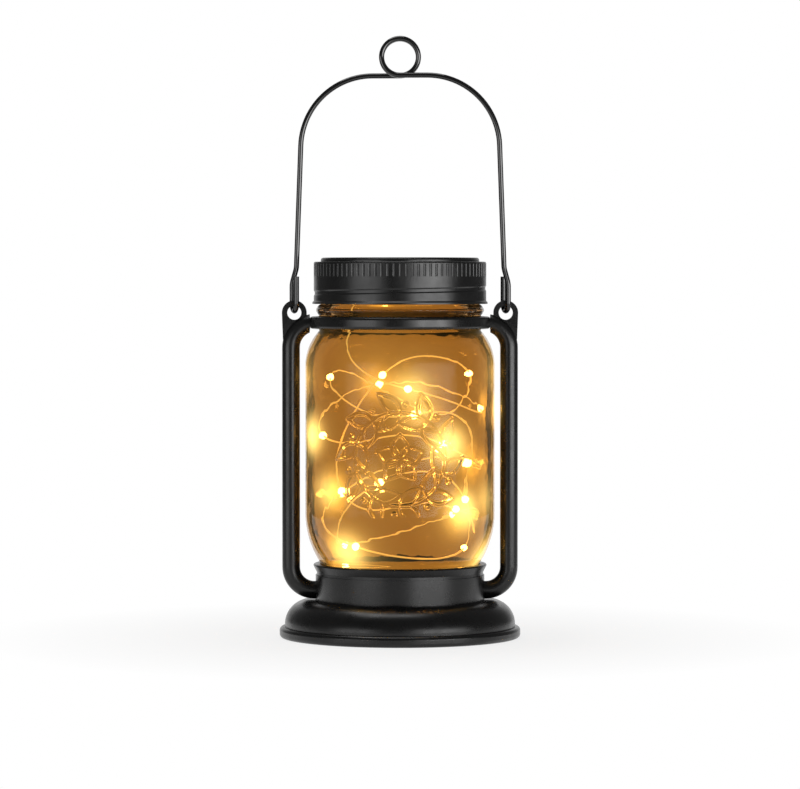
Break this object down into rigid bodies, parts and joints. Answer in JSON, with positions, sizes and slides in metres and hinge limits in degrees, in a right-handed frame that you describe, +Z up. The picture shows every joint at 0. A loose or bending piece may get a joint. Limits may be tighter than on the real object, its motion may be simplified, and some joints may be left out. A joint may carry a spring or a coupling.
{
  "type": "solar jar lantern",
  "caption": "Solar garden lantern: amber glass screw-top jar with fairy lights, on a domed foot with a pole socket, in a frame of two side bars with a swinging wire bail and hanging ring.",
  "frame": {"origin": "centre of the foot's bottom, on the surface it stands on", "axes": "+Z up along the jar's axis, +X towards the right side bar, -Y to the front"},
  "size_m": [0.1004, 0.1004, 0.2502],
  "materials": {
    "black_plastic": "satin",
    "screw_steel": "plain",
    "amber_glass": "gloss",
    "black_wire": "gloss",
    "black_band": "satin",
    "gasket_rubber": "matte",
    "solar_cell": "gloss",
    "cell_wrap": "gloss",
    "board_green": "gloss",
    "switch_black": "gloss",
    "button_grey": "satin",
    "copper_wire": "gloss",
    "led_resin": "gloss"
  },
  "bodies": {
    "lantern_frame": {"base_foot": "black_plastic", "jar_holder": "black_plastic", "right_side_bar": "black_plastic", "left_side_bar": "black_plastic", "neck_collar": "black_plastic", "holder_screws": "screw_steel", "glass_jar": "amber_glass"},
    "bail": {"bail_handle": "black_wire"},
    "solar_module": {"module_housing": "black_plastic", "solar_panel": "solar_cell", "module_cover": "black_plastic", "cover_screws": "screw_steel", "lid_gasket": "gasket_rubber", "battery": "cell_wrap", "battery_plus_contact": "screw_steel", "battery_minus_contact": "screw_steel", "circuit_board": "board_green", "switch_body": "switch_black", "wire_grommet": "gasket_rubber", "fairy_wire": "copper_wire", "led_beads": "led_resin"},
    "lid_band": {"screw_band": "black_band"},
    "button_cap": {"power_button": "button_grey"}
  },
  "joints": [
    {"name": "bail_swing", "type": "hinge", "parent": "lantern_frame", "child": "bail", "pos_m": [0, 0, 0.13934], "axis": [1, 0, 0], "range_deg": [-120, 120]},
    {"name": "lid_lift", "type": "slide", "parent": "lantern_frame", "child": "solar_module", "axis": [0, 0, 1], "range_m": [0, 0.00631]},
    {"name": "band_turn", "type": "hinge", "parent": "solar_module", "child": "lid_band", "pos_m": [0, 0, 0.15], "axis": [0, 0, 1], "range_deg": [0, 540]},
    {"name": "power_press", "type": "slide", "parent": "solar_module", "child": "button_cap", "axis": [0, 0, 1], "range_m": [0, 0.0008], "stiffness_N_per_m": 500, "springref_m": -0.0005}
  ],
  "couplings": [
    {"joint": "lid_lift", "follows": "band_turn", "m_per_rad": 0.00066845}
  ]
}
